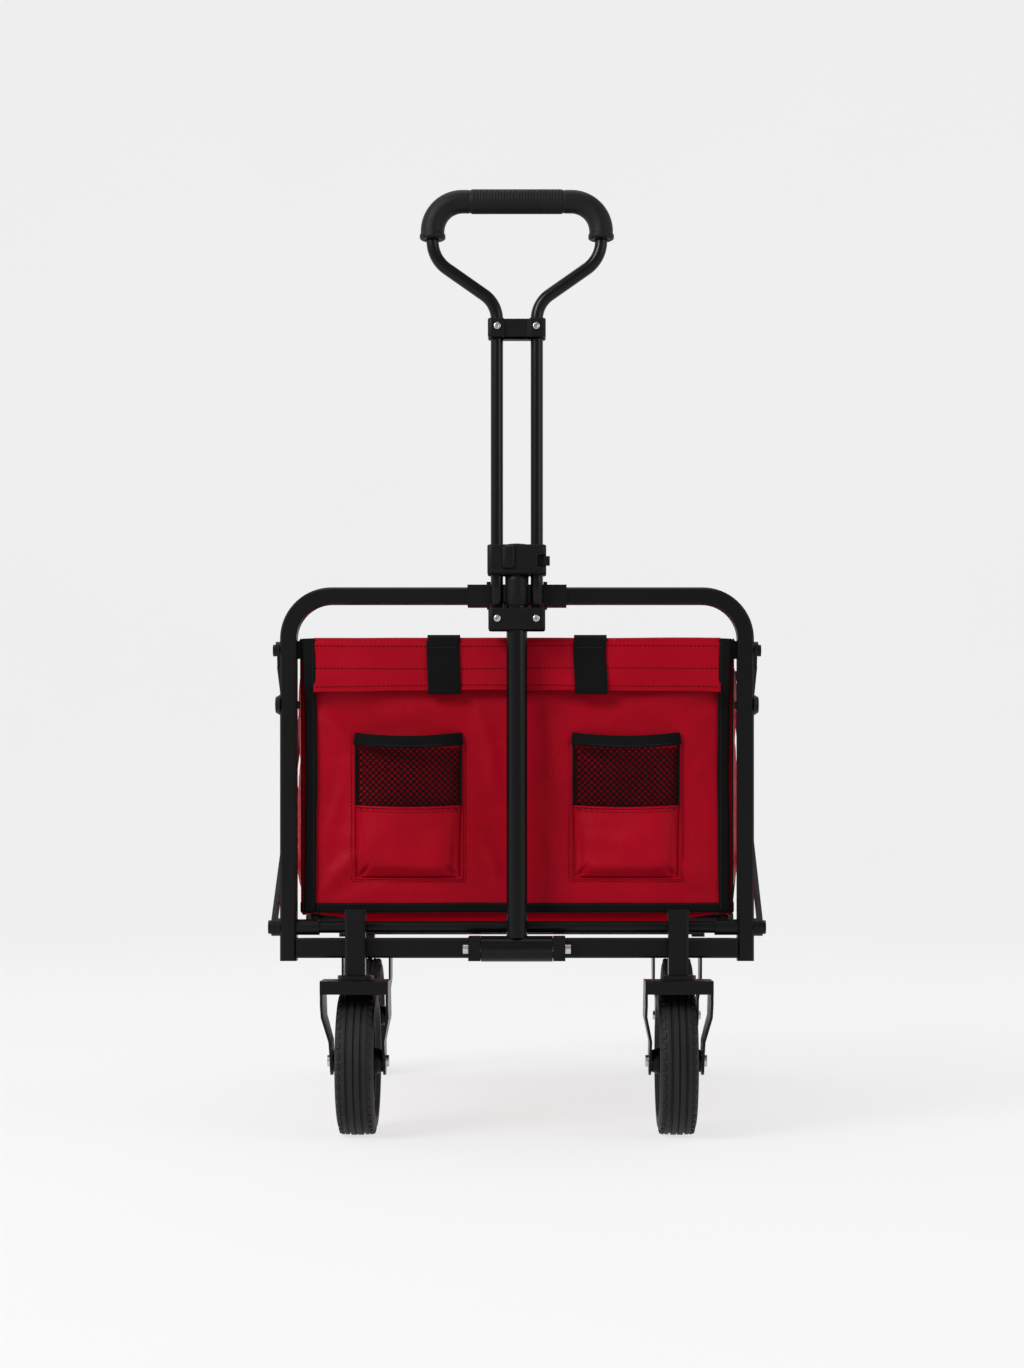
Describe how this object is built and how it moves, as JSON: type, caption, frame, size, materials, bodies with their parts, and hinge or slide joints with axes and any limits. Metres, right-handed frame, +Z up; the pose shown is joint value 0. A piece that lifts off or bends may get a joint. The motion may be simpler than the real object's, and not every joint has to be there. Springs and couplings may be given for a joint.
{
  "type": "folding pull wagon",
  "caption": "Folding utility wagon: red fabric basket on a black scissor frame, swivel front casters, fixed rear wheels, upright telescoping pull handle with a loop grip.",
  "frame": {"origin": "on the ground, in the middle of the wagon", "axes": "+Z up, the pull handle is on the -Y side (front), +X to the right seen from the front"},
  "size_m": [0.5032, 0.852, 0.9525],
  "materials": {
    "black_steel": "semi-gloss powder coat",
    "black_plastic": "moulded, fine grain",
    "grip_foam": "matte foam",
    "tyre": "matte rubber",
    "zinc_steel": "zinc plated",
    "red_fabric": "coated polyester weave",
    "black_trim": "woven binding tape",
    "mesh": "net"
  },
  "bodies": {
    "root": {"front_hoop": "black_steel", "front_crossbar": "black_steel", "front_top_bar": "black_steel", "front_pivot_tube": "black_steel", "front_link_bolts": "black_steel", "front_tube_plugs": "black_plastic", "caster_stems": "black_steel", "caster_bearings": "black_steel", "handle_hinge_pin": "zinc_steel", "handle_clip": "black_plastic", "basket_front": "red_fabric", "basket_left": "red_fabric", "basket_right": "red_fabric", "basket_floor": "red_fabric"},
    "caster_left": {"caster_fork_left": "black_steel", "caster_axle_left": "zinc_steel"},
    "caster_right": {"caster_fork_right": "black_steel", "caster_axle_right": "zinc_steel"},
    "wheel_front_left": {"tyre_front_left": "tyre", "rim_front_left": "black_plastic"},
    "wheel_front_right": {"tyre_front_right": "tyre", "rim_front_right": "black_plastic"},
    "rear_frame": {"rear_hoop": "black_steel", "rear_crossbar": "black_steel", "rear_top_bar": "black_steel", "rear_pivot_tube": "black_steel", "rear_link_bolts": "black_steel", "rear_tube_plugs": "black_plastic", "rear_wheel_forks": "black_steel", "rear_axles": "zinc_steel", "basket_rear": "red_fabric"},
    "wheel_rear_left": {"tyre_rear_left": "tyre", "rim_rear_left": "black_plastic"},
    "wheel_rear_right": {"tyre_rear_right": "tyre", "rim_rear_right": "black_plastic"},
    "lower_front": {"lower_links_front": "black_steel", "scissor_bolts_front": "black_steel"},
    "lower_rear": {"lower_links_rear": "black_steel", "scissor_bolts_rear": "black_steel"},
    "upper_front": {"upper_links_front": "black_steel"},
    "upper_rear": {"upper_links_rear": "black_steel"},
    "top_hub": {"top_hubs": "black_plastic"},
    "bottom_hub": {"bottom_hubs": "black_plastic", "bottom_hub_tube": "black_steel"},
    "handle_lower": {"handle_pole": "black_steel", "handle_housing": "black_plastic"},
    "handle_latch": {"latch_button": "black_plastic"},
    "handle_upper": {"handle_loop": "black_steel", "handle_grip": "grip_foam", "handle_clamp": "black_plastic", "handle_slider": "black_plastic", "handle_screws": "zinc_steel"}
  },
  "joints": [
    {"name": "fold", "type": "hinge", "parent": "root", "child": "lower_front", "pos_m": [0, -0.369, 0.212], "axis": [1, 0, 0], "range_deg": [0, 40.5], "deforming": ["basket_left", "basket_right", "basket_floor"]},
    {"name": "top_hub_front", "type": "hinge", "parent": "lower_front", "child": "top_hub", "pos_m": [0, -0.022, 0.492], "axis": [1, 0, 0], "range_deg": [-40.5, 0]},
    {"name": "top_hub_rear", "type": "hinge", "parent": "top_hub", "child": "lower_rear", "pos_m": [0, 0.004, 0.492], "axis": [1, 0, 0], "range_deg": [-40.5, 0]},
    {"name": "rear_pivot", "type": "hinge", "parent": "lower_rear", "child": "rear_frame", "pos_m": [0, 0.351, 0.212], "axis": [1, 0, 0], "range_deg": [0, 40.5]},
    {"name": "crossing_front", "type": "hinge", "parent": "lower_front", "child": "upper_front", "pos_m": [0, -0.1955, 0.352], "axis": [1, 0, 0], "range_deg": [-81, 0]},
    {"name": "bottom_hub_front", "type": "hinge", "parent": "upper_front", "child": "bottom_hub", "pos_m": [0, -0.022, 0.212], "axis": [1, 0, 0], "range_deg": [0, 40.5]},
    {"name": "bottom_hub_rear", "type": "hinge", "parent": "bottom_hub", "child": "upper_rear", "pos_m": [0, 0.004, 0.212], "axis": [1, 0, 0], "range_deg": [0, 40.5]},
    {"name": "swivel_left", "type": "hinge", "parent": "root", "child": "caster_left", "pos_m": [-0.162, -0.389, 0.157], "axis": [0, 0, 1], "continuous": true},
    {"name": "swivel_right", "type": "hinge", "parent": "root", "child": "caster_right", "pos_m": [0.162, -0.389, 0.157], "axis": [0, 0, 1], "continuous": true},
    {"name": "spin_front_left", "type": "hinge", "parent": "caster_left", "child": "wheel_front_left", "pos_m": [-0.162, -0.351, 0.075], "axis": [1, 0, 0], "continuous": true},
    {"name": "spin_front_right", "type": "hinge", "parent": "caster_right", "child": "wheel_front_right", "pos_m": [0.162, -0.351, 0.075], "axis": [1, 0, 0], "continuous": true},
    {"name": "spin_rear_left", "type": "hinge", "parent": "rear_frame", "child": "wheel_rear_left", "pos_m": [-0.203, 0.351, 0.075], "axis": [1, 0, 0], "continuous": true},
    {"name": "spin_rear_right", "type": "hinge", "parent": "rear_frame", "child": "wheel_rear_right", "pos_m": [0.203, 0.351, 0.075], "axis": [1, 0, 0], "continuous": true},
    {"name": "handle_tilt", "type": "hinge", "parent": "root", "child": "handle_lower", "pos_m": [0, -0.393, 0.191], "axis": [1, 0, 0], "range_deg": [0, 100]},
    {"name": "handle_slide", "type": "slide", "parent": "handle_lower", "child": "handle_upper", "axis": [0, 0, 1], "range_m": [-0.205, 0]},
    {"name": "latch_press", "type": "slide", "parent": "handle_lower", "child": "handle_latch", "axis": [-1, 0, 0], "range_m": [0, 0.003], "stiffness_N_per_m": 800}
  ],
  "couplings": [
    {"joint": "top_hub_front", "follows": "fold", "ratio": -1},
    {"joint": "top_hub_rear", "follows": "fold", "ratio": -1},
    {"joint": "rear_pivot", "follows": "fold", "ratio": 1},
    {"joint": "crossing_front", "follows": "fold", "ratio": -2},
    {"joint": "bottom_hub_front", "follows": "fold", "ratio": 1},
    {"joint": "bottom_hub_rear", "follows": "fold", "ratio": 1}
  ]
}
